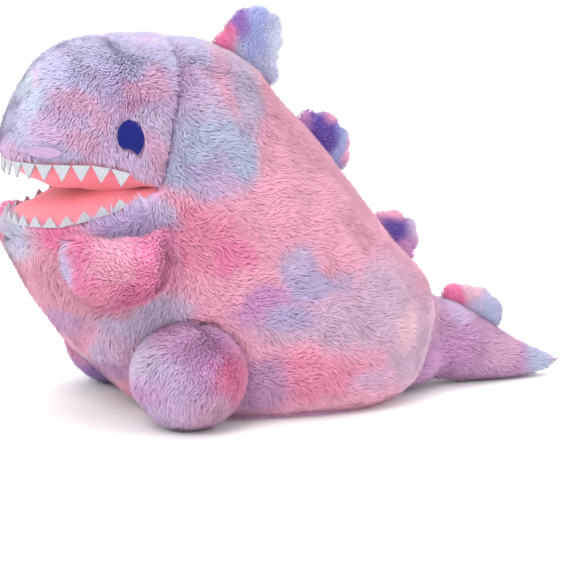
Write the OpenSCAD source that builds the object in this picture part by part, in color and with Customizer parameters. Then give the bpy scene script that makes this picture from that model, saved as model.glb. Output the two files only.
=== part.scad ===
// Stuffed dinosaur: a seated plush body with an open, toothed mouth, paddle arms, ball feet,
// a tapering tail and four scalloped plates down the back. Every cover panel, filling, lining,
// tooth row, eye and nostril is a piece of its own.
// Millimetres, +Z up, snout towards -Y, origin on the floor in the middle plane, on the base panel.

/* [Body] */
// Height of the crown above the floor
crown_h = 314; // [300:1:330]
// Greatest width of the body, near the floor
body_w = 224; // [216:1:240]
// Greatest width of the head, at the cheeks
head_w = 178; // [168:1:184]
// Distance from the middle to the front of the snout
snout_reach = 248; // [244:1:254]

/* [Cover] */
// Thickness of a sewn cover, with its backing
cover_t = 3; // [2:0.5:4]
// Room between a cover and its filling
fill_gap = 0.4; // [0.3:0.1:0.8]
// Room between two panels at their seam
seam_gap = 0.3; // [0.2:0.1:0.6]
// Room between pieces that move past each other
joint_gap = 0.6; // [0.4:0.1:1]

/* [Mouth] */
// Thickness of the smooth mouth lining
lining_t = 2.5; // [2:0.5:3]
// Width of an upper tooth at the lip
upper_tooth_w = 16; // [13:0.5:16.5]
// Length of an upper tooth
upper_tooth_l = 11.5; // [8:0.5:14]
// Width of a lower tooth at the lip
lower_tooth_w = 14.5; // [12:0.5:15]
// Length of a lower tooth
lower_tooth_l = 7; // [5:0.5:9]
// Thickness of the felt of the teeth
tooth_t = 2; // [1.5:0.5:2.5]

/* [Face] */
// Width of an eye
eye_w = 22; // [18:1:28]
// Height of an eye
eye_h = 29; // [22:1:34]
// Length of a nostril
nostril_l = 30; // [20:1:32]
// Height of a nostril
nostril_h = 9; // [6:1:11]

/* [Arms] */
// Distance of an arm's seam from the middle of the body
arm_x = 100; // [99.5:0.5:103]
// Radius of the rounded root along the arm's seam
arm_root_r = 8; // [7:0.5:8]

/* [Feet] */
// Distance of a foot's middle from the middle of the body
foot_x = 100; // [98:1:106]
// Radius of a foot seen from above
foot_r = 47; // [44:1:49]
// Half the height of a foot
foot_half_h = 44; // [40:1:44]

/* [Tail] */
// Radius of the tail's rounded root
tail_root_r = 44; // [42:0.5:44]
// Distance from the middle to the tip of the tail
tail_reach = 267; // [258:1:272]

/* [Plates] */
// Thickness of a stuffed back plate
plate_t = 15; // [13:1:17]

/* [Hidden] */

around = 36;         // points round a ring of the body
rings_a_row = 2;     // rings made for each row of a form
round_fn = 40;       // steps round a foot, a socket or a tail root
base_t = 3;          // thickness of the flat base panel
big = 400;           // reaches past the whole toy
pad_points = 28;     // corners of a nostril
root_r = plate_t / 2 - 2;    // radius of the rounded root that a plate folds about
bw = body_w / 2;
hw = head_w / 2;
sr = snout_reach;

// The body and head in one form, as level rings: height as a part of crown_h, front edge, back
// edge, line of greatest width, half width, and how square the ring is (2 is an ellipse).
body_rows = [
    [0.000, -sr + 121,  96,  -12, bw * 0.80, 2.1],
    [0.019, -sr + 112, 107,  -13, bw * 0.90, 2.1],
    [0.057, -sr + 98,  116,  -14, bw * 0.97, 2.2],
    [0.113, -sr + 78,  122,  -16, bw * 0.99, 2.2],
    [0.182, -sr + 55,  127,  -18, bw,        2.2],
    [0.252, -sr + 39,  128,  -24, bw,        2.2],
    [0.318, -sr + 25,  119,  -34, bw * 0.99, 2.2],
    [0.409, -sr + 10,   91,  -50, bw * 0.96, 2.2],
    [0.497, -sr + 1,    71,  -66, bw * 0.93, 2.2],
    [0.582, -sr,        51,  -80, bw * 0.88, 2.3],
    [0.660, -sr,        32,  -95, hw + 4,    2.4],
    [0.739, -sr + 3,    11, -108, hw,        2.4],
    [0.824, -sr + 13,  -13, -118, hw - 5,    2.4],
    [0.896, -sr + 25,  -29, -126, hw - 14,   2.4],
    [0.943, -sr + 38,  -48, -132, hw - 29,   2.3],
    [0.969, -sr + 51,  -64, -136, hw - 42,   2.2],
    [0.987, -sr + 68,  -80, -140, hw - 57,   2.1],
    [0.997, -sr + 86, -108, -143, hw - 72,   2.0]
];

// The mouth and the seam behind the upper jaw, seen from the side, as [y, z]
mouth_corner = [-138, 196];
upper_lip = [[-166, 211], [-190, 216], [-270, 215]];
lower_lip = [[-178, 178], [-213, 166], [-270, 162]];
jaw_hinge = [-108, crown_h];
seam_foot = [[-131, 120], [-120, 60], [-116, -10]];

// An arm as upright sections across Y: y, middle in x, half thickness, bottom, top
arm_y = -137;
arm_rows = [
    [-230,  98,  5, 138, 163],
    [-227,  99,  9, 129, 165],
    [-219, 101, 14, 117, 166],
    [-207, 103, 17, 108, 164],
    [-196, 105, 18, 104, 162],
    [-186, 106, 18, 103, 161],
    [-162, arm_x + 9, 14, 107, 163],
    [-149, arm_x + 7.5, 9, 112, 166],
    [arm_y, arm_x, arm_root_r, 116, 169],
    [arm_y + arm_root_r * 0.6, arm_x, arm_root_r * 0.8, 117, 168],
    [arm_y + arm_root_r * 0.9, arm_x, arm_root_r * 0.4, 118, 167]
];
arm_bottom = 114;
arm_top = 170.5;

foot_at = [foot_x, -120, foot_half_h + 0.5];

// The tail as upright sections across Y: y, middle in x, half width, bottom, top
tail_pivot = [0, 97.5];
tail_root_z = [6, 83];
tail_rows = [
    [106, 0, 30,  12,   78],
    [128, 0, 31,   5,   81],
    [152, 0, 30.5, 3,   74],
    [180, 0, 26, 1.5,   58],
    [206, 0, 20, 1.5,   41],
    [234, 0, 13,   3,   27],
    [254, 0,  7,   7,   20],
    [tail_reach, 0, 1.5, 12, 15]
];

// The left eye as parts of its half width and half height: round above and behind, with a slanting
// cut below that ends in a point
eye_outline = [
    [-0.1, 1], [0.5, 0.85], [0.85, 0.5], [1, 0], [0.92, -0.45], [0.7, -0.8], [0.45, -1],
    [0.2, -0.75], [-0.1, -0.62], [-0.55, -0.58], [-0.85, -0.42], [-1, 0.05], [-0.85, 0.55], [-0.5, 0.88]
];
nostril_outline = [for (i = [0 : pad_points - 1]) let (a = 360 * i / pad_points) [cos(a), sin(a)]];

// Each plate: where its base starts and ends on the back, as [y, z], and its lobes in the plate's
// own frame, as [distance along the base, height, radius]
crest_plate_base = [[-66, 306], [-11, 266]];
crest_plate_lobes = [
    [12, 20, 10], [15, 30, 12], [23, 37, 13], [34, 38, 13], [42, 30, 12], [48, 20, 10], [54, 10, 9]
];
upper_plate_base = [[11, 239], [49, 190]];
upper_plate_lobes = [[5, 7, 7], [22, 13, 14], [38, 13, 14], [50, 7, 11]];
lower_plate_base = [[79, 149], [111, 108]];
lower_plate_lobes = [[5, 7, 7], [15, 14, 10], [28, 19, 10], [38, 15, 9], [47, 6, 7]];
tail_plate_base = [[143, 77], [199, 45]];
tail_plate_lobes = [[9, 7, 10], [22, 9, 13], [36, 11, 14.5], [49, 10, 13], [58, 6, 9]];

// ---- Smooth forms ----

function catmull(a, b, c, d, f) =
    b + f * (c - a + f * (2 * a - 5 * b + 4 * c - d + f * (3 * (b - c) + d - a))) / 2;

// The row at place u along a table, smooth between the rows that are given. A curve through four
// rows: it passes b and c, and a and d set how it leans.
function row_at(rows, u) =
    let (last = len(rows) - 1, i = min(floor(u), last - 1))
    catmull(rows[max(i - 1, 0)], rows[i], rows[i + 1], rows[min(i + 2, last)], u - i);

function signed_pow(v, p) = sign(v) * pow(abs(v), p);

// A point of a body ring at angle t, where 0 is the toy's left side and -90 its front
function ring_point(row, t, inset = 0) =
    let (reach = sin(t) < 0 ? row[3] - row[1] : row[2] - row[3], p = 2 / row[5])
    [
        max(row[4] - inset, 0.5) * signed_pow(cos(t), p),
        row[3] + max(reach - inset, 0.5) * signed_pow(sin(t), p),
        inset + row[0] * (crown_h - 2 * inset)
    ];

// A point of an upright oval section across Y
function section_point(row, t, inset = 0) =
    let (
        z_mid = (row[3] + row[4]) / 2,
        half = max((row[4] - row[3]) / 2 - inset, 0.4)
    )
    [row[1] + max(row[2] - inset, 0.4) * signed_pow(cos(t), 0.85), row[0], z_mid - half * sin(t)];

// A closed solid from rings of the same number of points, with flat ends
module loft(rings) {
    n = len(rings[0]);
    last = len(rings) - 1;
    points = [for (ring = rings) each ring];
    ends = [[for (j = [0 : n - 1]) j], [for (j = [n - 1 : -1 : 0]) last * n + j]];
    sides = [
        for (i = [0 : last - 1], j = [0 : n - 1])
            let (a = i * n + j, b = i * n + (j + 1) % n)
            each [[a, a + n, b + n], [a, b + n, b]]
    ];
    polyhedron(points = points, faces = concat(ends, sides), convexity = 10);
}

module body_form(inset = 0) {
    steps = (len(body_rows) - 1) * rings_a_row;
    loft([
        for (i = [0 : steps])
            let (row = row_at(body_rows, i / rings_a_row))
            [for (j = [0 : around - 1]) ring_point(row, 360 * j / around, inset)]
    ]);
}

// A form of sections across Y; inset makes it smaller all round and pulls both ends in
module section_form(rows, inset = 0, sides = 14) {
    steps = (len(rows) - 1) * rings_a_row;
    first_y = rows[0][0];
    last_y = rows[len(rows) - 1][0];
    shrink = (last_y - first_y - 2 * inset) / (last_y - first_y);
    loft([
        for (i = [0 : steps])
            let (row = row_at(rows, i / rings_a_row))
            [
                for (j = [0 : sides - 1])
                    let (p = section_point(row, 360 * j / sides, inset))
                    [p[0], first_y + inset + (p[1] - first_y) * shrink, p[2]]
            ]
    ]);
}

// A side view, given as [y, z] points, carried right across the toy
module side_slab(outline, half_w = big / 2) {
    rotate([90, 0, 90])
        translate([0, 0, -half_w])
            linear_extrude(height = 2 * half_w)
                polygon(outline);
}

// A sewn skin or filling is worked out as one mesh; a size of zero keeps it as it is
module sewn() {
    resize([0, 0, 0]) children();
}

// ---- Regions of the body, seen from the side ----

function up(points, dz) = [for (p = points) [p[0], p[1] + dz]];
function back(points, dy) = [for (p = points) [p[0] + dy, p[1]]];
function reversed(points) = [for (i = [len(points) - 1 : -1 : 0]) points[i]];

// In front of the jaw seam and above the upper lip; rise lifts it clear of the lining
module head_region(rise = 0, gap = joint_gap / 2) {
    side_slab(concat(
        back(up([mouth_corner], rise), -gap),
        up(upper_lip, rise),
        [[-big, crown_h + 20], [jaw_hinge[0] + 4 - gap, crown_h + 20]],
        back([jaw_hinge], -gap)
    ));
}

// In front of the side seam and below the lower lip
module jaw_region(drop = 0, gap = 0) {
    side_slab(concat(
        back(up([mouth_corner], -drop), -gap),
        back(seam_foot, -gap),
        [[-big, -10], [-big, 150]],
        up(reversed(lower_lip), -drop)
    ));
}

// Behind the jaw seam and the side seam
module rear_region(gap = 0) {
    side_slab(concat(
        back([[jaw_hinge[0] + 4, crown_h + 20], jaw_hinge], joint_gap / 2),
        back(concat([mouth_corner], seam_foot), gap),
        [[big, -10], [big, crown_h + 20]]
    ));
}

module half_space(side, gap = seam_gap / 2) {
    translate([side > 0 ? gap : -big - gap, -big, -big / 2]) cube([big, 2 * big, 2 * big]);
}

module above_base() {
    translate([-big, -big, base_t + seam_gap]) cube([2 * big, 2 * big, big]);
}

// ---- Sockets that the moving pieces sit in ----

function oval_profile(r, half_h, n = 24) =
    [for (i = [0 : n]) let (a = -90 + 180 * i / n) [max(r * cos(a), 0), half_h * sin(a)]];

module foot_form(grow = 0) {
    translate(foot_at)
        rotate_extrude($fn = round_fn)
            polygon(oval_profile(foot_r + grow, foot_half_h + grow));
}

module tail_root(grow = 0) {
    low = tail_root_z[0] - grow;
    high = tail_root_z[1] + grow;
    r = tail_root_r + grow;
    edge = 10;
    translate([tail_pivot[0], tail_pivot[1], 0])
        rotate_extrude($fn = round_fn)
            polygon([
                [0, low], [r - edge, low], [r - edge * 0.3, low + edge * 0.3], [r, low + edge],
                [r, high - edge], [r - edge * 0.3, high - edge * 0.3], [r - edge, high], [0, high]
            ]);
}

module arm_socket(grow) {
    translate([arm_x, arm_y, arm_bottom])
        cylinder(r = arm_root_r + grow, h = arm_top - arm_bottom, $fn = round_fn);
}

module sockets(grow = joint_gap) {
    for (side = [0, 1]) mirror([side, 0, 0]) {
        foot_form(grow);
        arm_socket(grow);
    }
    tail_root(grow);
}

// ---- Torso ----

module body_skin() {
    difference() {
        body_form();
        body_form(cover_t);
        sockets();
    }
}

module base_panel() {
    color("plum")
        linear_extrude(height = base_t)
            polygon([
                for (j = [0 : around - 1])
                    let (p = ring_point(body_rows[0], 360 * j / around))
                    [p[0], p[1]]
            ]);
}

module belly_panel(side) {
    color("orchid")
        sewn()
            intersection() {
                body_skin();
                jaw_region(lining_t + seam_gap, seam_gap);
                half_space(side);
                above_base();
            }
}

module belly_panel_left() { belly_panel(1); }
module belly_panel_right() { belly_panel(-1); }

module side_panel(side) {
    color("hotpink")
        sewn()
            intersection() {
                body_skin();
                rear_region();
                half_space(side);
                above_base();
            }
}

module side_panel_left() { side_panel(1); }
module side_panel_right() { side_panel(-1); }

module body_stuffing() {
    color("ivory")
        sewn()
            difference() {
                intersection() {
                    body_form(cover_t + fill_gap);
                    union() {
                        jaw_region(lining_t + fill_gap);
                        rear_region();
                    }
                    above_base();
                }
                sockets();
            }
}

// ---- Mouth ----

// A sheet of lining between a lip line and the same line moved by rise
module lining_band(lip, rise) {
    side_slab(concat([mouth_corner], lip, up(reversed(concat([mouth_corner], lip)), rise)));
}

module upper_mouth_lining() {
    color("lightcoral")
        sewn()
            intersection() {
                body_form();
                lining_band(upper_lip, lining_t);
                head_region();
            }
}

module lower_mouth_lining() {
    color("lightcoral")
        sewn()
            intersection() {
                body_form();
                lining_band(lower_lip, -lining_t);
                jaw_region(0, seam_gap);
            }
}

// Height of a lip line at a place along Y
function lip_z(lip, y) =
    lookup(y, [for (p = concat(reversed(lip), [mouth_corner])) p]);

// The lip's outline from the middle of the front round to the left corner, as pairs of
// distance along it and angle t
lip_step = 2;
function lip_point(t, inset) = ring_point(body_rows[10], t, inset);
function lip_length(t, inset) =
    t <= -90 ? 0 : norm(lip_point(t, inset) - lip_point(t - lip_step, inset))
        + lip_length(t - lip_step, inset);
function lip_table(inset) =
    [for (t = [-90 : lip_step : 0]) [lip_length(t, inset), t]];

// A row of pointed felt teeth whose bases follow the lip; way is -1 for teeth that hang and 1 for
// teeth that stand
module tooth_row(lip, count, tooth_w, tooth_l, way, inset) {
    table = lip_table(inset);
    off_lip = seam_gap + 0.9;
    for (i = [-(count - 1) / 2 : (count - 1) / 2]) {
        t = lookup(abs(i) * tooth_w, table);
        p = lip_point(t, inset);
        q = lip_point(t + lip_step, inset);
        turn = atan2(q[1] - p[1], q[0] - p[0]);
        across = tooth_w * 0.48;
        base = [for (end = [-across, across]) [end, lip_z(lip, p[1] + end * sin(turn)) - lip_z(lip, p[1])]];
        mirror([i < 0 ? 1 : 0, 0, 0])
            translate([p[0], p[1], lip_z(lip, p[1]) + way * off_lip])
                rotate([90, 0, turn])
                    translate([0, 0, -tooth_t / 2])
                        linear_extrude(height = tooth_t)
                            polygon(concat(base, [[0, way * tooth_l]]));
    }
}

module upper_teeth() {
    color("whitesmoke") tooth_row(upper_lip, 16, upper_tooth_w, upper_tooth_l, -1, 4);
}

module lower_teeth() {
    color("whitesmoke") tooth_row(lower_lip, 17, lower_tooth_w, lower_tooth_l, 1, 6);
}

// ---- Head ----

module head_cover(side) {
    color("thistle")
        sewn()
            intersection() {
                body_skin();
                head_region(lining_t + seam_gap);
                half_space(side);
            }
}

module head_cover_left() { head_cover(1); }
module head_cover_right() { head_cover(-1); }

module head_stuffing() {
    color("ivory")
        sewn()
            intersection() {
                body_form(cover_t + fill_gap);
                head_region(lining_t + fill_gap);
            }
}

// A thin pad that hugs the head: u is the place in body_rows, t the angle round the ring
module face_pad(outline, u, t, w, h, thick) {
    step = 0.1;
    p = ring_point(row_at(body_rows, u), t);
    along = ring_point(row_at(body_rows, u), t + 1) - p;
    rise = ring_point(row_at(body_rows, u + step), t) - p;
    normal = cross(along, rise) / norm(cross(along, rise));
    depth = 12;
    sewn()
        intersection() {
            difference() {
                body_form(-seam_gap - thick);
                body_form(-seam_gap);
            }
            translate(p - normal * depth / 2)
                rotate([0, acos(normal[2]), atan2(normal[1], normal[0])])
                    rotate(90)
                        linear_extrude(height = depth)
                            polygon([for (c = outline) [w / 2 * c[0], h / 2 * c[1]]]);
        }
}

module eye(side) {
    color("midnightblue")
        mirror([side < 0 ? 1 : 0, 0, 0])
            face_pad(eye_outline, 11.27, -19, eye_w, eye_h, 2);
}

module eye_left() { eye(1); }
module eye_right() { eye(-1); }

module nostril(side) {
    color("plum")
        mirror([side < 0 ? 1 : 0, 0, 0])
            face_pad(nostril_outline, 10.77, -56, nostril_l, nostril_h, 3);
}

module nostril_left() { nostril(1); }
module nostril_right() { nostril(-1); }

// ---- Arms ----

module arm_cover(side) {
    color("deeppink")
        mirror([side < 0 ? 1 : 0, 0, 0])
            difference() {
                section_form(arm_rows);
                section_form(arm_rows, cover_t);
            }
}

module arm_stuffing(side) {
    color("ivory")
        mirror([side < 0 ? 1 : 0, 0, 0])
            section_form(arm_rows, cover_t + fill_gap);
}

module arm_left_cover() { arm_cover(1); }
module arm_left_stuffing() { arm_stuffing(1); }
module arm_right_cover() { arm_cover(-1); }
module arm_right_stuffing() { arm_stuffing(-1); }

// ---- Feet ----

module foot_cover(side) {
    color("mediumorchid")
        mirror([side < 0 ? 1 : 0, 0, 0])
            difference() {
                foot_form();
                foot_form(-cover_t);
            }
}

module foot_stuffing(side) {
    color("ivory")
        mirror([side < 0 ? 1 : 0, 0, 0]) foot_form(-cover_t - fill_gap);
}

module foot_left_cover() { foot_cover(1); }
module foot_left_stuffing() { foot_stuffing(1); }
module foot_right_cover() { foot_cover(-1); }
module foot_right_stuffing() { foot_stuffing(-1); }

// ---- Tail ----

module tail_form(inset = 0) {
    tail_root(-inset);
    section_form(tail_rows, inset);
}

module tail_cover() {
    color("plum")
        difference() {
            sewn() tail_form();
            sewn() tail_form(cover_t);
        }
}

module tail_stuffing() {
    color("ivory") sewn() tail_form(cover_t + fill_gap);
}

// ---- Back plates ----

// The lobed blade of a plate and its rounded root in the plate's own frame: X along the base,
// Y out of the back, with the fold line along the root at y = lift
module plate_form(base, lobes, lift, inset = 0) {
    long = norm(base[1] - base[0]);
    t = plate_t - 2 * inset;
    translate([0, 0, -t / 2])
        linear_extrude(height = t)
            intersection() {
                union() {
                    for (lobe = lobes)
                        translate([lobe[0], lobe[1]]) circle(r = lobe[2] - inset, $fn = round_fn);
                    polygon(concat(
                        [[inset, 0]],
                        [for (lobe = lobes) [lobe[0], lobe[1] - inset]],
                        [[long - inset, 0]]
                    ));
                }
                translate([-long, lift + inset / 3]) square([3 * long, 3 * long]);
            }
    translate([inset, lift, 0])
        rotate([0, 90, 0])
            cylinder(r = root_r - inset * 0.8, h = long - 2 * inset, $fn = round_fn);
}

// How far the back bulges above the straight line between the ends of a plate's base
function bulge(base, rows, col_z, col_y) =
    let (
        d = (base[1] - base[0]) / norm(base[1] - base[0]),
        out = [-d[1], d[0]]
    )
    max([
        for (u = [0 : 0.1 : len(rows) - 1])
            let (
                row = row_at(rows, u),
                at = [row[col_y] - base[0][0], row[col_z] * (col_z == 0 ? crown_h : 1) - base[0][1]],
                s = at * d
            )
            s > 0 && s < norm(base[1] - base[0]) ? at * out : 0
    ]);

// Stands a plate's frame on the back: X runs down its base, Y out of the back, Z across the toy
module on_back(base) {
    d = base[1] - base[0];
    translate([0, base[0][0], base[0][1]])
        rotate([atan2(d[1], d[0]), 0, 0])
            rotate([90, 0, 90])
                children();
}

module plate_cover(base, lobes, lift, shade) {
    color(shade)
        on_back(base)
            difference() {
                plate_form(base, lobes, lift);
                plate_form(base, lobes, lift, cover_t);
            }
}

module plate_stuffing(base, lobes, lift) {
    color("ivory") on_back(base) plate_form(base, lobes, lift, cover_t + fill_gap);
}

root_lift = root_r + joint_gap;
crest_lift = root_lift + bulge(crest_plate_base, body_rows, 0, 2);
upper_lift = root_lift + bulge(upper_plate_base, body_rows, 0, 2);
lower_lift = root_lift + bulge(lower_plate_base, body_rows, 0, 2);
tail_lift = root_lift + bulge(tail_plate_base, tail_rows, 4, 0);

module crest_plate_cover() {
    plate_cover(crest_plate_base, crest_plate_lobes, crest_lift, "cornflowerblue");
}
module crest_plate_stuffing() {
    plate_stuffing(crest_plate_base, crest_plate_lobes, crest_lift);
}
module upper_plate_cover() {
    plate_cover(upper_plate_base, upper_plate_lobes, upper_lift, "rebeccapurple");
}
module upper_plate_stuffing() {
    plate_stuffing(upper_plate_base, upper_plate_lobes, upper_lift);
}
module lower_plate_cover() {
    plate_cover(lower_plate_base, lower_plate_lobes, lower_lift, "mediumorchid");
}
module lower_plate_stuffing() {
    plate_stuffing(lower_plate_base, lower_plate_lobes, lower_lift);
}
module tail_plate_cover() {
    plate_cover(tail_plate_base, tail_plate_lobes, tail_lift, "lightpink");
}
module tail_plate_stuffing() {
    plate_stuffing(tail_plate_base, tail_plate_lobes, tail_lift);
}

body_stuffing();
base_panel();
belly_panel_left();
belly_panel_right();
side_panel_left();
side_panel_right();
lower_mouth_lining();
lower_teeth();
head_stuffing();
head_cover_left();
head_cover_right();
upper_mouth_lining();
upper_teeth();
eye_left();
eye_right();
nostril_left();
nostril_right();
arm_left_cover();
arm_left_stuffing();
arm_right_cover();
arm_right_stuffing();
foot_left_cover();
foot_left_stuffing();
foot_right_cover();
foot_right_stuffing();
tail_cover();
tail_stuffing();
crest_plate_cover();
crest_plate_stuffing();
upper_plate_cover();
upper_plate_stuffing();
lower_plate_cover();
lower_plate_stuffing();
tail_plate_cover();
tail_plate_stuffing();
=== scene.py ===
"""The looks of the stuffed dinosaur: tie-dyed pile, mouth lining, felt teeth and embroidery, built round
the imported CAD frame. Metres, +Z up, snout towards -Y; the toy's left side, +X, faces the camera."""
import math

import bpy
import numpy as np
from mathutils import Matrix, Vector
from mathutils.bvhtree import BVHTree
from mathutils.kdtree import KDTree


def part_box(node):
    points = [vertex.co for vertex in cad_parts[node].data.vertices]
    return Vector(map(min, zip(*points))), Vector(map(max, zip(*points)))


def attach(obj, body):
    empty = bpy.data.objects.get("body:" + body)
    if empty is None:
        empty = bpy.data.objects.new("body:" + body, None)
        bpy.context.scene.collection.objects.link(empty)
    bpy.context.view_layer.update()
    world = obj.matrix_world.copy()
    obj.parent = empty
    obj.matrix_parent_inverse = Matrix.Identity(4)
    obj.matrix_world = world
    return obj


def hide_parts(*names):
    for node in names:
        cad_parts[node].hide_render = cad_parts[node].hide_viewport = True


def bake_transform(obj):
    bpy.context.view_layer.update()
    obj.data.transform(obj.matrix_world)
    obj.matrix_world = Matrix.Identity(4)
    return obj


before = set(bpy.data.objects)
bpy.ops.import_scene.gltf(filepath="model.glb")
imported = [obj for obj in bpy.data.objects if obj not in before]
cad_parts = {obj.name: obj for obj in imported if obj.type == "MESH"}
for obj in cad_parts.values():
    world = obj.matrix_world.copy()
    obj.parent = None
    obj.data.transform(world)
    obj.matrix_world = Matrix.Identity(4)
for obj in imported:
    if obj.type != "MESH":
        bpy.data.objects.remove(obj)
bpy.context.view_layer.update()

MM = 0.001
SEED = 7

# ---- Where things are, repeated from part.scad in metres ----

MOUTH_CORNER = (-0.138, 0.196)
UPPER_LIP = [MOUTH_CORNER, (-0.166, 0.211), (-0.190, 0.216), (-0.270, 0.215)]
LOWER_LIP = [MOUTH_CORNER, (-0.178, 0.178), (-0.213, 0.166), (-0.270, 0.162)]

# Where each plate's base starts and ends on the back, as (y, z)
PLATE_BASES = {
    "crest_plate": [(-0.066, 0.306), (-0.011, 0.266)],
    "upper_plate": [(0.011, 0.239), (0.049, 0.190)],
    "lower_plate": [(0.079, 0.149), (0.111, 0.108)],
    "tail_plate": [(0.143, 0.077), (0.199, 0.045)],
}

# ---- Camera ----

VIEW_AZIMUTH = math.radians(70)
VIEW_ELEVATION = math.radians(10)
VIEW_DISTANCE = 2.5
VIEW_AIM = Vector((0, -0.0012, 0.0947))
LENS = 183.8
SENSOR = 36


def make_camera():
    data = bpy.data.cameras.new("camera")
    data.lens = LENS
    data.sensor_width = SENSOR
    data.clip_end = 60
    camera = bpy.data.objects.new("camera", data)
    bpy.context.scene.collection.objects.link(camera)
    back = Vector((
        math.sin(VIEW_AZIMUTH) * math.cos(VIEW_ELEVATION),
        -math.cos(VIEW_AZIMUTH) * math.cos(VIEW_ELEVATION),
        math.sin(VIEW_ELEVATION),
    ))
    camera.location = VIEW_AIM + back * VIEW_DISTANCE
    camera.rotation_euler = back.to_track_quat("Z", "Y").to_euler()
    bpy.context.scene.camera = camera


# ---- Dye ----

def linear(code):
    """A colour written as six hex digits, as linear red, green and blue."""
    srgb = np.array([int(code[i:i + 2], 16) for i in (0, 2, 4)]) / 255
    return np.where(srgb <= 0.04045, srgb / 12.92, ((srgb + 0.055) / 1.055) ** 2.4)


DYE = {
    "pink": linear("efa6c2"),
    "rose": linear("ea8cb0"),
    "hot_pink": linear("ee7fae"),
    "bright_pink": linear("ff9dc8"),
    # A pink dye, made darker than the cloth as painted shade for the front of the belly, which faces away
    # from the light.
    "shaded_coral": linear("db92a9"),
    "pale_pink": linear("eec0d2"),
    "baby_blue": linear("b8bddb"),
    "ice": linear("cfd6ec"),
    "lilac": linear("cfb1d6"),
    "pale_lavender": linear("cac2e6"),
    "lavender": linear("bca9d2"),
    "dusty_pink": linear("d4aeca"),
    "orchid_pink": linear("dba8c9"),
    "periwinkle": linear("a6aede"),
    "grey_lilac": linear("cdb9d8"),
    "orchid": linear("cf92c6"),
    "mauve": linear("c592bd"),
    "purple": linear("9b6fc0"),
    "indigo": linear("6a4aac"),
}

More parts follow.
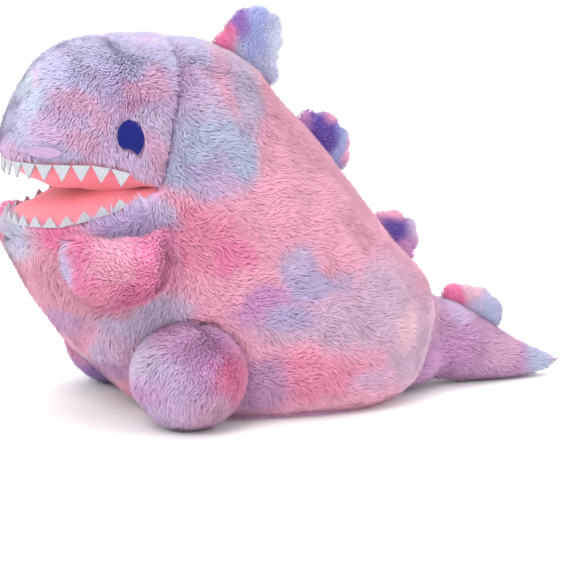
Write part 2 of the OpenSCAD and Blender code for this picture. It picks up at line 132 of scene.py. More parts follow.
# Dye spots on the side that faces the camera: colour, middle (y, z), reach (y, z), all in mm. A later
# spot lies over an earlier one.
SPOTS = {
    "torso": [
        ("pale_lavender", -92, 304, 34, 18), ("pale_pink", -50, 294, 30, 20),
        ("orchid_pink", -74, 280, 9, 22),
        ("grey_lilac", -60, 268, 12, 26), ("lilac", -112, 276, 24, 24), ("grey_lilac", -108, 250, 26, 18),
        ("baby_blue", -94, 236, 36, 18), ("baby_blue", -114, 214, 30, 20), ("baby_blue", -78, 222, 16, 24),
        ("lavender", -104, 210, 17, 12), ("lilac", -98, 196, 22, 10),
        ("rose", -105, 150, 32, 28), ("hot_pink", -88, 138, 14, 12), ("rose", -122, 172, 18, 12),
        ("pink", -112, 112, 24, 20), ("lavender", -28, 120, 18, 24), ("grey_lilac", -26, 132, 10, 10),
        ("orchid", -62, 102, 22, 15), ("lavender", -2, 114, 16, 14), ("orchid_pink", 2, 104, 8, 8),
        ("dusty_pink", -10, 82, 60, 18), ("lavender", -40, 90, 20, 10), ("rose", -14, 40, 46, 18),
        ("mauve", -62, 34, 24, 22), ("dusty_pink", 46, 92, 44, 34), ("mauve", -104, 66, 22, 18),
        ("dusty_pink", 84, 52, 34, 40), ("pale_pink", 78, 70, 14, 20), ("orchid_pink", 38, 32, 22, 12),
        # The spots on the front of the belly at (-214, 112) and (-180, 104) are darker than the cloth:
        # painted shade for the front, which faces away from the light.
        ("shaded_coral", -214, 112, 30, 40), ("mauve", -212, 84, 22, 14),
        # The spot at (-166, 86) is lighter than the cloth there: painted light that offsets the shadow the
        # foot casts on the belly.
        ("grey_lilac", -142, 96, 24, 20), ("grey_lilac", -166, 86, 20, 14), ("shaded_coral", -180, 104, 18, 14),
        ("grey_lilac", -172, 62, 12, 12), ("orchid_pink", -152, 66, 18, 12), ("mauve", -166, 46, 14, 12),
        ("lavender", -166, 170, 34, 15), ("grey_lilac", -150, 184, 16, 10), ("hot_pink", -214, 156, 20, 8),
        ("ice", -250, 152, 18, 20), ("grey_lilac", -244, 134, 8, 18),
    ],
    "upper_jaw": [
        ("lilac", -180, 256, 90, 70), ("pale_lavender", -206, 286, 24, 20),
        ("pale_lavender", -160, 300, 44, 12),
        ("lavender", -170, 284, 14, 12), ("ice", -230, 272, 14, 18), ("pink", -226, 292, 7, 9),
        ("orchid_pink", -196, 266, 14, 9), ("orchid_pink", -184, 254, 8, 8),
        ("orchid_pink", -150, 276, 14, 11),
        ("pale_lavender", -126, 300, 16, 12), ("orchid_pink", -138, 280, 9, 14), ("mauve", -158, 262, 12, 8),
        ("pale_lavender", -236, 246, 10, 16), ("grey_lilac", -142, 254, 12, 9),
        ("pale_lavender", -218, 226, 16, 9),
        ("orchid_pink", -196, 234, 14, 7), ("orchid_pink", -142, 224, 10, 16),
    ],
    "arm_left": [
        ("hot_pink", -170, 140, 70, 40), ("pink", -188, 146, 24, 16), ("bright_pink", -144, 140, 18, 34),
        ("pale_lavender", -228, 138, 6, 34), ("rose", -200, 122, 16, 10),
    ],
    "arm_right": [("hot_pink", -170, 140, 70, 40), ("pink", -192, 140, 24, 18)],
    "foot_left": [
        ("orchid", -120, 40, 70, 60), ("grey_lilac", -154, 62, 26, 18), ("lilac", -138, 42, 20, 14),
        ("mauve", -126, 76, 20, 12),
        ("hot_pink", -92, 46, 22, 24), ("lilac", -150, 20, 26, 12), ("orchid_pink", -112, 22, 22, 14),
    ],
    "foot_right": [
        ("orchid", -120, 60, 70, 40), ("hot_pink", -150, 60, 40, 22), ("purple", -140, 10, 60, 20),
    ],
    "tail": [
        ("mauve", 160, 40, 90, 60), ("orchid_pink", 108, 66, 18, 22), ("orchid", 136, 34, 22, 14),
        ("orchid_pink", 194, 26, 16, 14), ("lilac", 150, 66, 22, 10), ("baby_blue", 234, 20, 15, 18),
        ("mauve", 262, 14, 10, 12),
    ],
    "crest_plate": [
        ("baby_blue", -10, 312, 46, 60), ("periwinkle", -30, 316, 10, 36), ("purple", -42, 326, 9, 22),
        ("hot_pink", -58, 318, 12, 26), ("ice", -2, 296, 12, 26),
    ],
    "upper_plate": [
        ("purple", 34, 222, 60, 60), ("indigo", 34, 226, 13, 18), ("periwinkle", 48, 212, 9, 20),
        ("orchid", 18, 242, 9, 12), ("pink", 57, 222, 6, 26), ("pink", 44, 238, 10, 8),
    ],
    "lower_plate": [
        ("orchid", 98, 138, 60, 60), ("pink", 96, 158, 12, 8), ("indigo", 98, 136, 13, 13),
        ("grey_lilac", 116, 144, 10, 18), ("orchid", 108, 116, 12, 8),
    ],
    "tail_plate": [
        ("grey_lilac", 180, 74, 60, 60), ("hot_pink", 152, 82, 14, 14), ("pale_pink", 170, 84, 9, 8),
        ("baby_blue", 196, 62, 18, 22),
    ],
}


def soft_noise(points, size, seed):
    """Smooth random values from -1 to 1 that change over about size metres."""
    table = np.random.default_rng(seed).uniform(-1, 1, (64, 64, 64))
    at = points / size + 1000
    low = np.floor(at).astype(int)
    f = at - low
    f = f * f * (3 - 2 * f)
    total = np.zeros(len(points))
    for corner in np.ndindex(2, 2, 2):
        c = np.array(corner)
        weight = np.prod(np.where(c == 1, f, 1 - f), axis=1)
        i = (low + c) % 64
        total += weight * table[i[:, 0], i[:, 1], i[:, 2]]
    return total


def smooth_step(x, low, high):
    t = np.clip((x - low) / (high - low), 0, 1)
    return t * t * (3 - 2 * t)


def mixed(colour, other, weight):
    return colour + (other - colour) * weight[:, None]


CLOUD_SIZE = 0.055
WAVERS = [(0.022, 7), (0.007, 2.5)]     # size in metres and reach in mm of the wander of an edge
SPOT_SQUARENESS = 2.4                   # 2 would make each spot an ellipse


def waver(points, seed):
    """How far the edge of a spot wanders at each point, in mm along y and z."""
    total = np.zeros((len(points), 2))
    for size, reach in WAVERS:
        for axis in range(2):
            total[:, axis] += reach * soft_noise(points, size, seed)
            seed += 1
    return total


def dye_at(points, body):
    """The tie-dyed colour at each point: drifting clouds of dye, with the spots over them."""
    clouds = [soft_noise(points, CLOUD_SIZE, SEED + i) for i in range(3)]
    colour = np.tile(DYE["pink"], (len(points), 1))
    colour = mixed(colour, DYE["lilac"], smooth_step(clouds[0], -0.1, 0.5))
    colour = mixed(colour, DYE["baby_blue"], smooth_step(clouds[1], 0.25, 0.55) * 0.9)
    colour = mixed(colour, DYE["rose"], smooth_step(clouds[2], 0.25, 0.6) * 0.8)
    if body not in ("torso", "upper_jaw"):
        base = DYE[SPOTS[body][0][0]]
        colour = mixed(colour, base, np.full(len(points), 0.75))
    near_side = smooth_step(points[:, 0], -0.05, -0.015)
    if body == "torso":
        colour = mixed(colour, DYE["pink"], near_side)
    if body in ("foot_right", "arm_right") or "plate" in body or body == "tail":
        near_side = np.ones(len(points))
    bend = waver(points, SEED + 5)
    for name, y, z, reach_y, reach_z in SPOTS[body]:
        dy = (points[:, 1] / MM + bend[:, 0] - y) / reach_y
        dz = (points[:, 2] / MM + bend[:, 1] - z) / reach_z
        far = (np.abs(dy) ** SPOT_SQUARENESS + np.abs(dz) ** SPOT_SQUARENESS) ** (1 / SPOT_SQUARENESS)
        colour = mixed(colour, DYE[name], (1 - smooth_step(far, 0.5, 1.4)) * near_side)
    fleck = 1 + 0.05 * soft_noise(points, 0.009, SEED + 9)
    return np.clip(colour * fleck[:, None], 0, 1)


# ---- Materials ----

def new_material(name, roughness, sheen=0.0):
    """A material with one Principled shader; returns the material, its nodes, links and shader."""
    material = bpy.data.materials.new(name)
    material.use_nodes = True
    nodes, links = material.node_tree.nodes, material.node_tree.links
    shader = nodes["Principled BSDF"]
    shader.inputs["Roughness"].default_value = roughness
    shader.inputs["Specular IOR Level"].default_value = 0.25
    shader.inputs["Sheen Weight"].default_value = sheen
    shader.inputs["Sheen Roughness"].default_value = 0.5
    return material, nodes, links, shader


def pile_material(name):
    """Pile: every lock carries its own dye, darker at the root as painted shade for the shadow deep in the
    pile, and lighter at the tip as a painted sheen.
    """
    material, nodes, links, shader = new_material(name, 0.9)
    dye = nodes.new("ShaderNodeAttribute")
    # The attribute holds each point's dye with the painted shade of the roots and skin and the painted sheen
    # of the tips in it.
    dye.attribute_name = "dye"
    links.new(dye.outputs["Color"], shader.inputs["Base Color"])
    return material


def knit_material(name, low, high, size, depth, sheen):
    """Smooth knitted or felted cloth: fine noise in its colour and its relief."""
    material, nodes, links, shader = new_material(name, 0.8, sheen)
    place = nodes.new("ShaderNodeTexCoord")
    noise = nodes.new("ShaderNodeTexNoise")
    noise.inputs["Scale"].default_value = 1 / size
    noise.inputs["Detail"].default_value = 4
    ramp = nodes.new("ShaderNodeValToRGB")
    ramp.color_ramp.elements[0].position = 0.35
    ramp.color_ramp.elements[1].position = 0.65
    ramp.color_ramp.elements[0].color = (*linear(low), 1)
    ramp.color_ramp.elements[1].color = (*linear(high), 1)
    bump = nodes.new("ShaderNodeBump")
    bump.inputs["Strength"].default_value = 0.5
    bump.inputs["Distance"].default_value = depth
    links.new(place.outputs["Object"], noise.inputs["Vector"])
    links.new(noise.outputs["Fac"], ramp.inputs["Fac"])
    links.new(ramp.outputs["Color"], shader.inputs["Base Color"])
    links.new(noise.outputs["Fac"], bump.inputs["Height"])
    links.new(bump.outputs["Normal"], shader.inputs["Normal"])
    return material


# ---- Meshes ----

def new_object(name, mesh, material):
    obj = bpy.data.objects.new(name, mesh)
    bpy.context.scene.collection.objects.link(obj)
    mesh.materials.clear()
    mesh.materials.append(material)
    return obj


def baked_modifiers(obj):
    """Applies an object's modifiers to its mesh."""
    bpy.context.view_layer.update()
    graph = bpy.context.evaluated_depsgraph_get()
    mesh = bpy.data.meshes.new_from_object(obj.evaluated_get(graph))
    obj.modifiers.clear()
    old = obj.data
    obj.data = mesh
    bpy.data.meshes.remove(old)


def node_faces(nodes):
    """The points and faces of some CAD nodes, as one list of each."""
    points, faces, start = [], [], 0
    for node in nodes:
        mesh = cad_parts[node].data
        points += [v.co.copy() for v in mesh.vertices]
        faces += [[start + i for i in p.vertices] for p in mesh.polygons]
        start += len(mesh.vertices)
    return points, faces


def joined_nodes(name, nodes, material):
    """A new object with the meshes of the CAD nodes in it."""
    points, faces = node_faces(nodes)
    mesh = bpy.data.meshes.new(name)
    mesh.from_pydata(points, [], faces)
    return new_object(name, mesh, material)


def remeshed(obj, voxel, smoothing):
    """Gives an object even faces one voxel wide, then smooths them that many times."""
    remesh = obj.modifiers.new("remesh", "REMESH")
    remesh.mode = "VOXEL"
    remesh.voxel_size = voxel
    smooth = obj.modifiers.new("smooth", "SMOOTH")
    smooth.factor = 0.5
    smooth.iterations = smoothing
    baked_modifiers(obj)
    obj.data.shade_smooth()


def vertex_arrays(mesh):
    """A mesh's points and their normals, one row each."""
    n = len(mesh.vertices)
    points, normals = np.empty(n * 3, np.float32), np.empty(n * 3, np.float32)
    mesh.vertices.foreach_get("co", points)
    mesh.vertices.foreach_get("normal", normals)
    return points.reshape(n, 3).astype(float), normals.reshape(n, 3).astype(float)


def set_points(mesh, points):
    mesh.vertices.foreach_set("co", points.astype(np.float32).ravel())
    mesh.update()


def set_dye_and_painted_light(mesh, colours):
    # These colours are the dye with painted shade at the roots and on the skin, and painted sheen at the
    # tips of the locks.
    attribute = mesh.attributes.new("dye", "FLOAT_COLOR", "POINT")
    rgba = np.ones((len(colours), 4), np.float32)
    rgba[:, :3] = colours
    attribute.data.foreach_set("color", rgba.ravel())


def surface_tree(nodes):
    """A search tree over the faces of some CAD nodes."""
    return BVHTree.FromPolygons(*node_faces(nodes))


# ---- Skins: the backing that the pile grows on ----

SKIN_VOXEL = 3.5 * MM
SWELL_PRESSURE = 4
SWELL_FRAMES = 16
SWELL_CAP = 2.5 * MM


def swell(obj):
    """Blows a skin up as its filling does, with a cloth simulation, and caps how far a point moves."""
    before, _ = vertex_arrays(obj.data)
    cloth = obj.modifiers.new("cloth", "CLOTH")
    settings = cloth.settings
    settings.quality = 4
    settings.use_pressure = True
    settings.uniform_pressure_force = SWELL_PRESSURE
    settings.effector_weights.gravity = 0
    scene = bpy.context.scene
    scene.frame_start, scene.frame_end = 1, SWELL_FRAMES
    for number in range(1, SWELL_FRAMES + 1):
        scene.frame_set(number)
    baked_modifiers(obj)
    after, _ = vertex_arrays(obj.data)
    move = after - before
    far = np.linalg.norm(move, axis=1, keepdims=True)
    set_points(obj.data, before + move * np.minimum(1, SWELL_CAP / np.maximum(far, 1e-9)))
    scene.frame_set(1)


def make_skin(name, nodes, voxel, smoothing, grow):
    """The backing of a cover: the filling's own surface, softened, swelled, and moved out by grow."""
    skin = joined_nodes(name, nodes, PILE)
    remeshed(skin, voxel, smoothing)
    swell(skin)
    points, normals = vertex_arrays(skin.data)
    set_points(skin.data, points + normals * grow)
    return skin


def plate_base(plate):
    """Where a plate's base starts, and the way the plate stands out of the back."""
    start, end = (Vector((0, *corner)) for corner in PLATE_BASES[plate])
    along = (end - start).normalized()
    return np.array(start), np.array((0, -along.z, along.y))


ROOT_DEPTH = 6 * MM       # how far a plate's root is carried down into the back
ARM_FILL = 6 * MM         # how far the outer side of an arm is filled out near its seam
ARM_DRAW = 6 * MM         # how far the front end of an arm is drawn back


def deepen_root(skin, plate):
    """Carries the root of a plate down into the pile of the back, so that no gap shows under it."""
    start, outward = plate_base(plate)
    points, _ = vertex_arrays(skin.data)
    height = (points - start) @ outward
    low = height.min()
    depth = ROOT_DEPTH * (1 - smooth_step(height, low + 1 * MM, low + 9 * MM))
    set_points(skin.data, points - outward * depth[:, None])


def shape_arm(skin):
    """Fills out the outer side of an arm where it thins towards its seam, and draws its front end back by
    what the pile adds there."""
    inner_side, root_y, root_reach = 0.100, -0.148, 0.015
    middle_z, reach_z = 0.138, 0.022
    front_start, front_end = 0.195, 0.235
    points, _ = vertex_arrays(skin.data)
    away = np.abs(points[:, 0]) - inner_side
    bump = ARM_FILL * np.exp(-((points[:, 1] - root_y) / root_reach) ** 2) * smooth_step(away, 0, 0.004)
    bump *= np.exp(-(((points[:, 2] - middle_z) / reach_z) ** 4))
    points[:, 0] += np.sign(points[:, 0]) * bump
    points[:, 1] += ARM_DRAW * smooth_step(-points[:, 1], front_start, front_end)
    set_points(skin.data, points)


def dye_skin_with_painted_shade(skin, body):
    points, _ = vertex_arrays(skin.data)
    # The skin takes the dye darkened by the root shade: painted shadow down between the locks.
    set_dye_and_painted_light(skin.data, dye_at(points, body) * PAINTED_ROOT_SHADE)


# ---- Pile ----

LOCK_CORNERS = 3
LOCK_POINTS = 2 * LOCK_CORNERS + 1
LOCK_SINK = 1 * MM        # how deep a lock starts under the skin
LOCKS_A_TUFT = 12
MAX_LOCKS = 19000         # in one piece
COVER_REACH = 5.5 * MM    # pile grows where the skin is this near to a CAD cover
FLOOR_CLEAR = 0.4 * MM
# Painted shade: the dye at the root of each lock and on the skin is darkened by this, for the shadow deep in
# the pile.
PAINTED_ROOT_SHADE = np.array([0.91, 0.87, 0.92])
# Painted sheen: how far the tips of the locks are lightened towards white, for the light they catch.
PAINTED_TIP_SHEEN = 0.2
FRINGE_LONGER = 0.45      # the pile on the rim of a lip is this much longer
FRINGE_FLATTER = 0.65     # and lies this much flatter
SKIN_NORMAL_SHARE = 0.6   # how much of a lock's shading follows the skin, to keep the pile soft
BAKE_MAP = "OFBake"       # the map in which each lock has a cell of its own


def sampled_roots(mesh, covers, density, rng, keep_out):
    """Places for the locks, spread evenly over the parts of the skin that are close to a cover, except
    where one of the keep_out tests says no."""
    mesh.calc_loop_triangles()
    points, normals = vertex_arrays(mesh)
    corners = np.empty(len(mesh.loop_triangles) * 3, np.int32)
    mesh.loop_triangles.foreach_get("vertices", corners)
    corners = corners.reshape(-1, 3)
    a, b, c = (points[corners[:, i]] for i in range(3))
    area = np.linalg.norm(np.cross(b - a, c - a), axis=1) / 2
    wanted = area * density
    count = np.floor(wanted).astype(int) + (rng.random(len(area)) < wanted % 1)
    middle = (a + b + c) / 3
    tree = surface_tree(covers)
    for i in np.flatnonzero(count):
        if tree.find_nearest(Vector(middle[i]), COVER_REACH)[0] is None:
            count[i] = 0
    owner = np.repeat(np.arange(len(area)), count)
    r1, r2 = np.sqrt(rng.random(len(owner))), rng.random(len(owner))
    weights = np.stack([1 - r1, r1 * (1 - r2), r1 * r2], axis=1)[:, :, None]
    roots = (points[corners[owner]] * weights).sum(axis=1)
    out = (normals[corners[owner]] * weights).sum(axis=1)
    out /= np.linalg.norm(out, axis=1, keepdims=True)
    keep = np.ones(len(roots), bool)
    for test in keep_out:
        keep &= ~test(roots, out)
    return roots[keep], out[keep]


def combed(roots, out, flow, swirl):
    """The way each lock lies along the skin: the flow of the pile, turned by a drifting swirl."""
    along = flow - out * (flow * out).sum(axis=1, keepdims=True)
    along += 0.02 * np.cross(out, [0.3, 0.5, 0.8])
    along /= np.linalg.norm(along, axis=1, keepdims=True)
    across = np.cross(out, along)
    turn = swirl * (soft_noise(roots, 0.024, SEED + 20) + 0.6 * soft_noise(roots, 0.009, SEED + 21))
    return along * np.cos(turn)[:, None] + across * np.sin(turn)[:, None]


def grow_pile(name, skin, slot, body, covers, flow, place, density=1.0e6, length=8.5 * MM, width=0.36 * MM,
              swirl=1.0, lift=(60, 34), keep_out=()):
    """Pile of curved, tapered locks over a skin, in pieces small enough to handle. flow gives the
    direction of the nap at each root, lift the angle in degrees at which a lock leaves the skin and the
    one at which it ends, and place puts each finished piece on its body."""
    rng = np.random.default_rng(SEED + sum(map(ord, name)))
    roots, out = sampled_roots(skin.data, covers, density, rng, keep_out)
    n = len(roots)
    along = combed(roots, out, flow(roots), swirl)
    long = length * rng.uniform(0.72, 1.15, n) * (1 + 0.15 * soft_noise(roots, 0.02, SEED + 22))
    fringe = lip_fringe(roots)
    long *= 1 + FRINGE_LONGER * fringe
    low, high = (np.radians(a + rng.uniform(-10, 10, n)) * (1 - FRINGE_FLATTER * fringe) for a in lift)

    def at(angle, share):
        way = out * np.sin(angle)[:, None] + along * np.cos(angle)[:, None]
        return roots + way * (long * share)[:, None]

    middle, tip = at(low, 0.5), at((low + high) / 2, 1.0)
    middle, tip, tuft = gathered(roots, middle, tip, rng)
    colour = dye_at(roots, body)
    shade = rng.normal(1, 0.05, n) * tuft
    # Painted shade: the root of each lock is darker, for the shadow deep in the pile.
    root_colour = colour * shade[:, None] * PAINTED_ROOT_SHADE
    middle_colour = colour * shade[:, None]
    # Painted sheen: the tips are lightened towards white and brightened a little, for the light they catch.
    tip_colour = mixed(colour, np.ones(3), np.full(n, PAINTED_TIP_SHEEN)) * shade[:, None] * 1.03
    tip_colour = np.clip(tip_colour, 0, 1)
    order = np.argsort(roots[:, 2], kind="stable")
    pieces = math.ceil(n / MAX_LOCKS)
    for number, chosen in enumerate(np.array_split(order, pieces), 1):
        piece_name = name if pieces == 1 else f"{name}_{number}"
        mesh = lock_mesh(
            piece_name, roots[chosen] - out[chosen] * LOCK_SINK, middle[chosen], tip[chosen], out[chosen],
            along[chosen], width * rng.uniform(0.75, 1.2, len(chosen)),
            root_colour[chosen], middle_colour[chosen], tip_colour[chosen],
        )
        piece = new_object(piece_name, mesh, PILE)
        place(piece)


def lip_fringe(roots):
    """1 for the pile on the rim of a lip, which lies over the teeth, falling to 0 away from it."""
    y, z = roots[:, 1], roots[:, 2]
    from_lip = np.minimum(*(np.abs(z - lip_height(lip, y)) for lip in (UPPER_LIP, LOWER_LIP)))
    in_front = 1 - smooth_step(y, MOUTH_CORNER[0] - 0.01, MOUTH_CORNER[0] + 0.005)
    return (1 - smooth_step(from_lip, 0.005, 0.013)) * in_front


def gathered(roots, middle, tip, rng):
    """Draws neighbouring locks together into tufts, and gives each tuft a shade of its own."""
    leaders = rng.permutation(len(roots))[:max(1, len(roots) // LOCKS_A_TUFT)]
    tree = KDTree(len(leaders))
    for i, leader in enumerate(leaders):
        tree.insert(roots[leader], i)
    tree.balance()
    nearest = np.array([tree.find(p)[1] for p in roots])
    leader = leaders[nearest]
    pull_middle, pull_tip = 0.06, 0.18      # share of the way to the tuft's leader
    middle = middle + (middle[leader] - middle) * pull_middle
    tip = tip + (tip[leader] - tip) * pull_tip
    tuft = rng.normal(1, 0.035, len(leaders))[nearest]
    return middle, tip, tuft


def lock_faces():
    """The triangles of one lock: three sides in two rows, and the flat root. Its points are the root's
    three corners, the middle's three corners and the tip."""
    up, tip_point = LOCK_CORNERS, LOCK_POINTS - 1
    faces = []
    for k in range(LOCK_CORNERS):
        j = (k + 1) % LOCK_CORNERS
        faces += [(k, j, up + j), (k, up + j, up + k), (up + k, up + j, tip_point)]
    faces.append((2, 1, 0))
    return np.array(faces)


def lock_cells(n, a_lock):
    """Where each face corner of n locks lies in the bake map: every lock has a square cell of its own."""
    cells = math.ceil(math.sqrt(n))
    cell = np.stack([np.arange(n) % cells, np.arange(n) // cells], axis=1)
    ring = (0.1, 0.5, 0.9)
    in_cell = np.array([(u, 0.1) for u in ring] + [(u, 0.5) for u in ring] + [(0.5, 0.9)])
    return (cell[:, None, :] + in_cell[a_lock.ravel()][None]) / cells


def lock_mesh(name, root, middle, tip, out, along, radius, root_colour, middle_colour, tip_colour):
    """Closed three-sided locks that taper to a point, each with its own cell in the bake map."""
    n = len(root)
    middle_share = 0.85
    side = np.cross(out, along)
    rings = []
    for centre, share in ((root, 1.0), (middle, middle_share)):
        for k in range(LOCK_CORNERS):
            angle = 2 * math.pi * k / LOCK_CORNERS
            off = side * math.cos(angle) + out * math.sin(angle)
            rings.append(centre + off * (radius * share)[:, None])
    points = np.stack(rings + [tip], axis=1)
    points[:, :, 2] = np.maximum(points[:, :, 2], FLOOR_CLEAR)
    a_lock = lock_faces()
    faces = (np.arange(n)[:, None, None] * LOCK_POINTS + a_lock[None]).reshape(-1, 3)
    mesh = bpy.data.meshes.new(name)
    mesh.vertices.add(n * LOCK_POINTS)
    mesh.vertices.foreach_set("co", points.astype(np.float32).ravel())
    mesh.loops.add(faces.size)
    mesh.loops.foreach_set("vertex_index", faces.astype(np.int32).ravel())
    mesh.polygons.add(len(faces))
    mesh.polygons.foreach_set("loop_start", np.arange(0, faces.size, 3, dtype=np.int32))
    mesh.update()
    stages = np.stack([root_colour, middle_colour, tip_colour], axis=1)
    colours = np.repeat(stages, (LOCK_CORNERS, LOCK_CORNERS, 1), axis=1)
    set_dye_and_painted_light(mesh, colours.reshape(-1, 3))
    uv = mesh.uv_layers.new(name=BAKE_MAP)
    uv.data.foreach_set("uv", lock_cells(n, a_lock).astype(np.float32).ravel())
    mesh.shade_smooth()
    set_soft_normals(mesh, points, out)
    return mesh


def set_soft_normals(mesh, points, out):
    """Shades each lock partly as the skin under it and partly as the lock itself."""
    own = points - points.mean(axis=1, keepdims=True)
    own /= np.linalg.norm(own, axis=2, keepdims=True) + 1e-9
    normals = out[:, None, :] * SKIN_NORMAL_SHARE + own * (1 - SKIN_NORMAL_SHARE)
    normals /= np.linalg.norm(normals, axis=2, keepdims=True)
    mesh.normals_split_custom_set_from_vertices(normals.reshape(-1, 3).tolist())


# ---- Places on the bodies ----

def rides(body):
    return lambda piece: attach(piece, body)


def bends_at_jaw(piece):
    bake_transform(piece)


# ---- Nap ----

def steady(*direction):
    """The same nap all over."""
    return lambda roots: np.tile(np.array(direction, float), (len(roots), 1))


def outward_from_crown(roots, low, high):
    """Combs the pile away from the middle plane on the top of the toy."""
    sideways = np.tanh(roots[:, 0] / 0.02) * smooth_step(roots[:, 2], low, high)
    return sideways[:, None] * np.array([1.0, 0, 0])


def torso_flow(roots):
    """Down on the belly, back and down on the sides, and up over the lower lip."""
    rear = smooth_step(roots[:, 1], -0.15, -0.09)
    front_flow, rear_flow = np.array([0, -0.2, -1.0]), np.array([0, 1.0, -0.30])
    flow = front_flow + (rear_flow - front_flow) * rear[:, None] + outward_from_crown(roots, 0.12, 0.30)
    below_lip = lip_height(LOWER_LIP, roots[:, 1]) - roots[:, 2]
    at_lip = (1 - smooth_step(below_lip, 0.008, 0.02)) * (1 - smooth_step(roots[:, 1], -0.15, -0.14))
    return mixed(flow, np.array([0, -0.4, 0.9]), at_lip)


def head_flow(roots):
    """Forward over the crown and down the cheeks."""
    front = smooth_step(-roots[:, 1], 0.12, 0.22)
    rear_flow, front_flow = np.array([0, 0.5, -0.5]), np.array([0, -0.8, -0.9])
    flow = rear_flow + (front_flow - rear_flow) * front[:, None]
    return mixed(flow, np.array([0, -0.1, -1.2]), smooth_step(-roots[:, 2], -0.232, -0.216))


# ---- Where no pile grows ----

def under(node):
    """A test for roots that lie under a CAD node on the face."""
    low, high = (np.array(corner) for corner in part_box(node))
    tree = surface_tree([node])
    reach = 12 * MM

    def test(roots, out):
        near = ((roots > low - reach) & (roots < high + reach)).all(axis=1)
        for i in np.flatnonzero(near):
            near[i] = tree.ray_cast(Vector(roots[i]), Vector(out[i]), reach)[0] is not None
        return near

    return test


def under_toy(roots, out):
    """A test for roots on the underside, which the toy sits on."""
    return roots[:, 2] < 1.5 * MM


# ---- Base ----

def make_base():
    """The flat base: short pile, with a rounded edge."""
    base = joined_nodes("base", ["base_panel"], BASE_CLOTH)
    bevel = base.modifiers.new("bevel", "BEVEL")
    bevel.width = 1.2 * MM
    bevel.segments = 3
    baked_modifiers(base)
    points, _ = vertex_arrays(base.data)
    inset = 0.015
    points[:, :2] = points[:, :2] * (1 - inset) + points[:, :2].mean(axis=0) * inset
    set_points(base.data, points)
    base.data.shade_smooth()
    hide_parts("base_panel")
    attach(base, "torso")


# ---- Mouth ----

def lip_height(lip, y):
    """The height of a lip's edge at each y."""
    line = sorted(lip)
    return np.interp(y, [p[0] for p in line], [p[1] for p in line])


def make_lining(name, node, lip, bulge, way):
    """A sheet of lining between the lips, puffed by the filling behind it. way is -1 for the roof of
    the mouth, which bulges down, and 1 for the floor of it."""
    low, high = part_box(node)
    widest_y, squareness, edge = -0.095, 2.4, 8.5 * MM
    puff_reach, tuck_reach, tuck_depth, ripple = 45 * MM, 8 * MM, 5 * MM, 0.8 * MM
    front, half_width = low.y + edge, high.x - edge
    steps_y, steps_x = 40, 44
    rows = front + (MOUTH_CORNER[0] - front) * np.linspace(0.004, 1, steps_y) ** 1.6
    reach = ((widest_y - rows) / (widest_y - front)) ** squareness
    widths = half_width * np.maximum(1 - reach, 0.004) ** (1 / squareness)
    across = np.sin(np.linspace(-math.pi / 2, math.pi / 2, steps_x))
    y = np.repeat(rows[:, None], steps_x, axis=1)
    x = widths[:, None] * across[None]
    edge_distance = np.minimum(widths[:, None] - np.abs(x), (y - front) * 1.1)
    puff = 1 - (1 - np.clip(edge_distance / puff_reach, 0, 1)) ** 2.2
    corner = smooth_step(-y, -MOUTH_CORNER[0] - 0.002, -MOUTH_CORNER[0] + 0.03)
    tuck = np.clip(1 - edge_distance / tuck_reach, 0, 1) * tuck_depth
    z = lip_height(lip, y) + way * (bulge * puff * corner - tuck)
    flat = np.stack([x, y, z], axis=2).reshape(-1, 3)
    z += ripple * soft_noise(flat, 20 * MM, SEED + 30).reshape(z.shape)
    points = np.stack([x, y, z], axis=2).reshape(-1, 3)
    faces = []
    for i in range(steps_y - 1):
        for j in range(steps_x - 1):
            a = i * steps_x + j
            faces.append((a, a + 1, a + steps_x + 1, a + steps_x))
    mesh = bpy.data.meshes.new(name)
    mesh.from_pydata(points.tolist(), [], faces)
    lining = new_object(name, mesh, LINING)
    thick = lining.modifiers.new("thickness", "SOLIDIFY")
    thick.thickness = 1.6 * MM
    thick.offset = 0
    smoother = lining.modifiers.new("smoother", "SUBSURF")
    smoother.levels = 1
    baked_modifiers(lining)
    lining.data.shade_smooth()
    return lining


def make_teeth(name, node, lip, way):
    """The felt teeth: softened edges, and bases carried back into the pile of the lip."""
    teeth = joined_nodes(name, [node], FELT)
    points, _ = vertex_arrays(teeth.data)
    off_lip = way * (points[:, 2] - lip_height(lip, points[:, 1]))
    base_height, carried_back = 2.5 * MM, 2 * MM
    points[:, 2] -= way * np.where(off_lip < base_height, carried_back, 0)
    set_points(teeth.data, points)
    weld = teeth.modifiers.new("weld", "WELD")
    weld.merge_threshold = 0.01 * MM
    bevel = teeth.modifiers.new("bevel", "BEVEL")
    bevel.width = 0.35 * MM
    bevel.segments = 2
    baked_modifiers(teeth)
    teeth.data.shade_smooth()
    return teeth


# ---- Face ----

def make_stitched(name, node, material, rise, row, depth):
    """An embroidered patch: the CAD pad, raised by rise at its middle, with the ridges of its rows of
    stitches, which are row apart and depth high."""
    patch = joined_nodes(name, [node], material)
    remeshed(patch, 0.5 * MM, 3)
    points, normals = vertex_arrays(patch.data)
    low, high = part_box(node)
    middle = np.array((low + high) / 2)
    half = np.array(high - low) / 2
    share = np.linalg.norm((points - middle)[:, 1:] / half[1:], axis=1)
    crown = np.clip(1 - share ** 2, 0, 1)
    ridges = np.sin(2 * math.pi * (points[:, 2] + 0.35 * points[:, 1]) / row)
    points += normals * (rise * crown + depth * ridges)[:, None]
    set_points(patch.data, points)
    return patch


# ---- Stage ----

def make_stage():
    size = 20.0
    mesh = bpy.data.meshes.new("floor")
    corners = [(-size, -size, 0), (size, -size, 0), (size, size, 0), (-size, size, 0)]
    mesh.from_pydata(corners, [], [(0, 1, 2, 3)])
    material, _, _, shader = new_material("floor", 0.9)
    shader.inputs["Base Color"].default_value = (0.98, 0.98, 0.98, 1)
    new_object("floor", mesh, material)


TOY_MIDDLE = Vector((0, 0, 0.12))


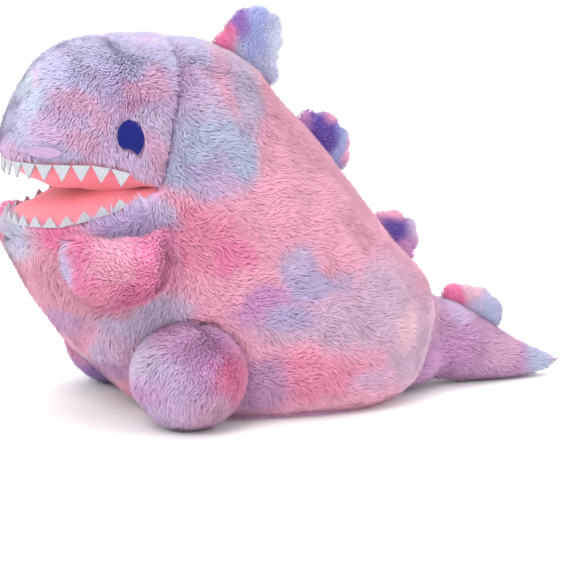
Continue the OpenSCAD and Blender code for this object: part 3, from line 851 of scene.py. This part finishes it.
def make_light(name, place, size, power):
    """A square area light that faces the toy."""
    data = bpy.data.lights.new(name, "AREA")
    data.size = size
    data.energy = power
    light = bpy.data.objects.new(name, data)
    light.location = place
    light.rotation_euler = (Vector(place) - TOY_MIDDLE).to_track_quat("Z", "Y").to_euler()
    bpy.context.scene.collection.objects.link(light)


def light_scene():
    world = bpy.data.worlds.new("world")
    world.use_nodes = True
    world.node_tree.nodes["Background"].inputs["Color"].default_value = (1, 1, 1, 1)
    world.node_tree.nodes["Background"].inputs["Strength"].default_value = 1.0
    bpy.context.scene.world = world
    bpy.context.scene.view_settings.view_transform = "Standard"
    make_light("key", (1.6, -1.5, 1.9), 1.4, 34)
    make_light("fill", (1.9, 1.2, 0.8), 1.6, 12)
    make_light("top", (0.0, 0.1, 2.3), 1.6, 18)
    make_light("back", (-1.8, 0.4, 1.2), 1.6, 12)
    make_light("rim", (-1.3, -2.0, 1.0), 1.4, 9)


# ---- The toy ----

make_camera()
PILE = pile_material("pile")
FELT = knit_material("felt", "9ea1a9", "babdc4", 0.9 * MM, 0.25 * MM, 0.1)
# The lining's pinks are its own colour made slightly darker: partly painted shade for the hollow of the
# mouth.
LINING = knit_material("lining", "e87989", "f2929f", 0.7 * MM, 0.15 * MM, 0.25)
NAVY = knit_material("navy_stitch", "0a0f56", "121970", 0.8 * MM, 0.1 * MM, 0.0)
BASE_CLOTH = knit_material("base_cloth", "b98ab4", "cfa0c6", 2.5 * MM, 0.4 * MM, 0.4)
LILAC_STITCH = knit_material("lilac_stitch", "9c7fa6", "b696b8", 1.6 * MM, 0.5 * MM, 0.3)


def make_part(name, body, nodes, covers, slot, place, flow, voxel=SKIN_VOXEL, smoothing=6,
              grow=-1.0 * MM, **pile):
    """A stuffed part: its skin stands for the CAD filling and covers, and carries the pile. What pile
    holds goes to grow_pile."""
    skin = make_skin(f"{name}_skin", nodes, voxel, smoothing, grow)
    if body in PLATE_BASES:
        deepen_root(skin, body)
    if body.startswith("arm"):
        shape_arm(skin)
    grow_pile(f"{name}_pile", skin, slot, body, covers, flow, place, **pile)
    dye_skin_with_painted_shade(skin, body)
    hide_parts(*nodes, *covers)
    place(skin)
    return skin


make_part(
    "body", "torso", ["body_stuffing"],
    ["side_panel_left", "side_panel_right", "belly_panel_left", "belly_panel_right"],
    "body_pile", rides("torso"), torso_flow, keep_out=[under_toy],
)
make_part(
    "head", "upper_jaw", ["head_stuffing"], ["head_cover_left", "head_cover_right"], "snout_pile",
    bends_at_jaw, head_flow,
    keep_out=[under(n) for n in ("eye_left", "eye_right", "nostril_left", "nostril_right")],
)
make_base()
for side in ("left", "right"):
    make_part(
        f"arm_{side}", f"arm_{side}", [f"arm_{side}_stuffing"], [f"arm_{side}_cover"], "arm_pile",
        rides(f"arm_{side}"), steady(0, -1, -0.2), voxel=2.5 * MM, smoothing=4, grow=0.5 * MM,
        length=8 * MM,
    )
    make_part(
        f"foot_{side}", f"foot_{side}", [f"foot_{side}_stuffing"], [f"foot_{side}_cover"], "foot_pile",
        rides(f"foot_{side}"), steady(0, -0.3, -1), voxel=3.5 * MM, keep_out=[under_toy],
    )
make_part(
    "tail", "tail", ["tail_stuffing"], ["tail_cover"], "tail_pile", rides("tail"), steady(0, 0.9, -0.5),
    voxel=3.5 * MM, keep_out=[under_toy],
)
for plate in PLATE_BASES:
    _, outward = plate_base(plate)
    make_part(
        plate, plate, [f"{plate}_stuffing"], [f"{plate}_cover"], "plate_pile", rides(plate),
        steady(*outward), voxel=2 * MM, smoothing=5, grow=0.8 * MM, length=4.5 * MM, density=1.4e6,
        width=0.28 * MM, swirl=0.6, lift=(62, 40),
    )

roof = make_lining("mouth_roof", "upper_mouth_lining", UPPER_LIP, 23 * MM, -1)
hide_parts("upper_mouth_lining")
floor_lining = make_lining("mouth_floor", "lower_mouth_lining", LOWER_LIP, 12 * MM, 1)
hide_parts("lower_mouth_lining")
bends_at_jaw(roof)
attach(floor_lining, "torso")

for name, node, lip, way, place in (
    ("teeth_above", "upper_teeth", UPPER_LIP, -1, bends_at_jaw),
    ("teeth_below", "lower_teeth", LOWER_LIP, 1, rides("torso")),
):
    teeth = make_teeth(name, node, lip, way)
    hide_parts(node)
    place(teeth)

for side in ("left", "right"):
    eye = make_stitched(f"eye_{side}_patch", f"eye_{side}", NAVY, 0.6 * MM, 1.1 * MM, 0.10 * MM)
    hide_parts(f"eye_{side}")
    bends_at_jaw(eye)
    nostril = make_stitched(
        f"nostril_{side}_patch", f"nostril_{side}", LILAC_STITCH, 1.2 * MM, 1.0 * MM, 0.05 * MM,
    )
    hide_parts(f"nostril_{side}")
    bends_at_jaw(nostril)

make_stage()
light_scene()
